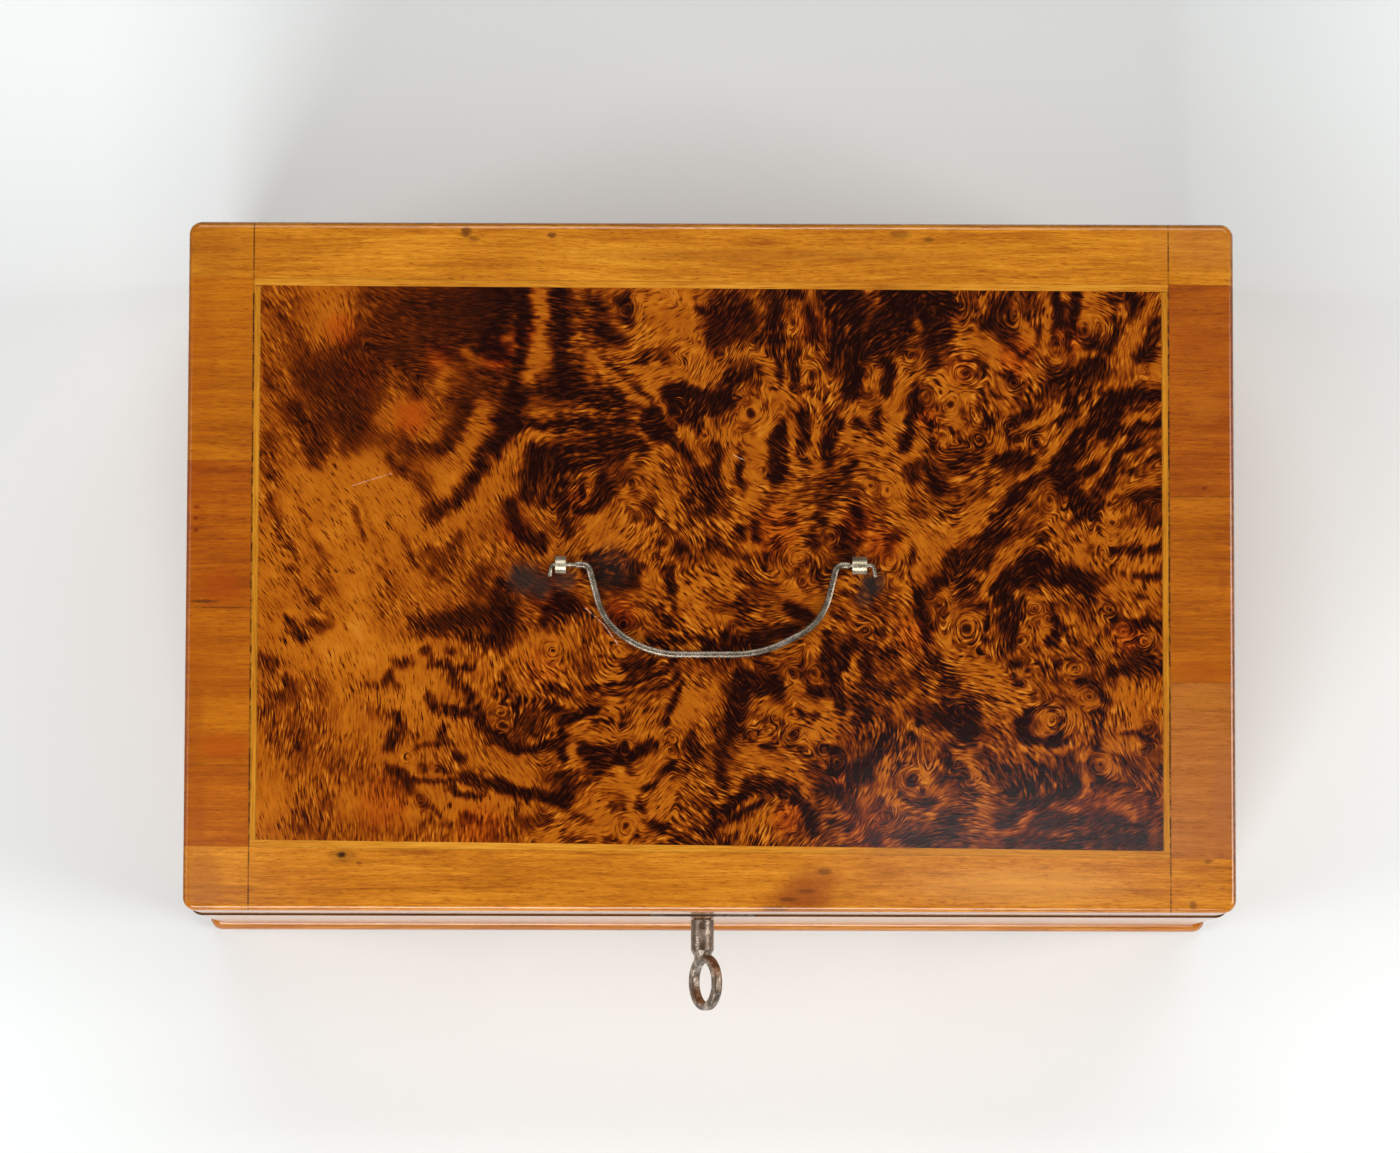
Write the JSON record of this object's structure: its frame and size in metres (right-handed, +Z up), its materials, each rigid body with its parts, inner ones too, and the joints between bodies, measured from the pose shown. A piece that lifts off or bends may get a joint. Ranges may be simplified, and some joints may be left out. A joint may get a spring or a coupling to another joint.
{
  "type": "ditty box",
  "caption": "Hinged wooden keepsake box with a burl-veneered lid in a light stringing frame, an iron bail handle on top and a keyed box lock.",
  "frame": {"origin": "centre of the underside of the bottom board", "axes": "+X right along the length, +Y from the key side towards the hinges, +Z up through the lid"},
  "size_m": [0.3268, 0.2441, 0.1473],
  "materials": {
    "burl_veneer": "french-polished figured burl, orange-brown with near-black figure",
    "border_veneer": "french-polished honey wood",
    "stringing_wood": "light yellow stringing between dark glue lines",
    "case_wood": "polished outside, plain aged wood inside",
    "handle_iron": "worn grey wrought iron",
    "key_iron": "pitted wrought iron, bright on the edges",
    "lock_iron": "dark oxidised iron",
    "hinge_iron": "dark oxidised iron",
    "fastener_iron": "dark iron screws and nails"
  },
  "bodies": {
    "root": {"body_back": "case_wood", "body_front": "case_wood", "body_left": "case_wood", "body_right": "case_wood", "bottom_board": "case_wood", "bottom_nails": "fastener_iron", "hinge_left_body_leaf": "hinge_iron", "hinge_left_pin": "hinge_iron", "hinge_right_body_leaf": "hinge_iron", "hinge_right_pin": "hinge_iron", "hinge_screws_body": "fastener_iron", "lock_bolt_guides": "lock_iron", "lock_cap": "lock_iron", "lock_plate": "lock_iron", "lock_post": "lock_iron", "lock_screws": "fastener_iron", "lock_spring": "lock_iron"},
    "lid": {"bail_staple_left": "handle_iron", "bail_staple_right": "handle_iron", "border_back": "border_veneer", "border_front": "border_veneer", "border_left_1": "border_veneer", "border_left_2": "border_veneer", "border_left_3": "border_veneer", "border_left_4": "border_veneer", "border_right_1": "border_veneer", "border_right_2": "border_veneer", "border_right_3": "border_veneer", "burl_panel": "burl_veneer", "hinge_left_lid_leaf": "hinge_iron", "hinge_right_lid_leaf": "hinge_iron", "hinge_screws_lid": "fastener_iron", "lid_board": "case_wood", "lid_rail_back": "case_wood", "lid_rail_front": "case_wood", "lid_rail_left": "case_wood", "lid_rail_right": "case_wood", "link_plate": "lock_iron", "link_screws": "fastener_iron", "stringing_back": "stringing_wood", "stringing_front": "stringing_wood", "stringing_left": "stringing_wood", "stringing_right": "stringing_wood"},
    "bail": {"bail_handle": "handle_iron"},
    "key": {"key": "key_iron"},
    "bolt": {"lock_bolt": "lock_iron"}
  },
  "joints": [
    {"name": "lid_hinge", "type": "hinge", "parent": "root", "child": "lid", "pos_m": [0, 0.1036, 0.10985], "axis": [-1, 0, 0], "range_deg": [0, 98]},
    {"name": "handle_swing", "type": "hinge", "parent": "lid", "child": "bail", "pos_m": [0, 0, 0.1454], "axis": [-1, 0, 0], "range_deg": [0, 180]},
    {"name": "key_turn", "type": "hinge", "parent": "root", "child": "key", "pos_m": [-0.002, -0.1, 0.084], "axis": [0, 1, 0], "range_deg": [-30, 330]},
    {"name": "bolt_slide", "type": "slide", "parent": "root", "child": "bolt", "axis": [1, 0, 0], "range_m": [-0.00033, 0.00367]}
  ],
  "couplings": [
    {"joint": "key_turn", "follows": "bolt_slide", "rad_per_m": 1570.8}
  ]
}
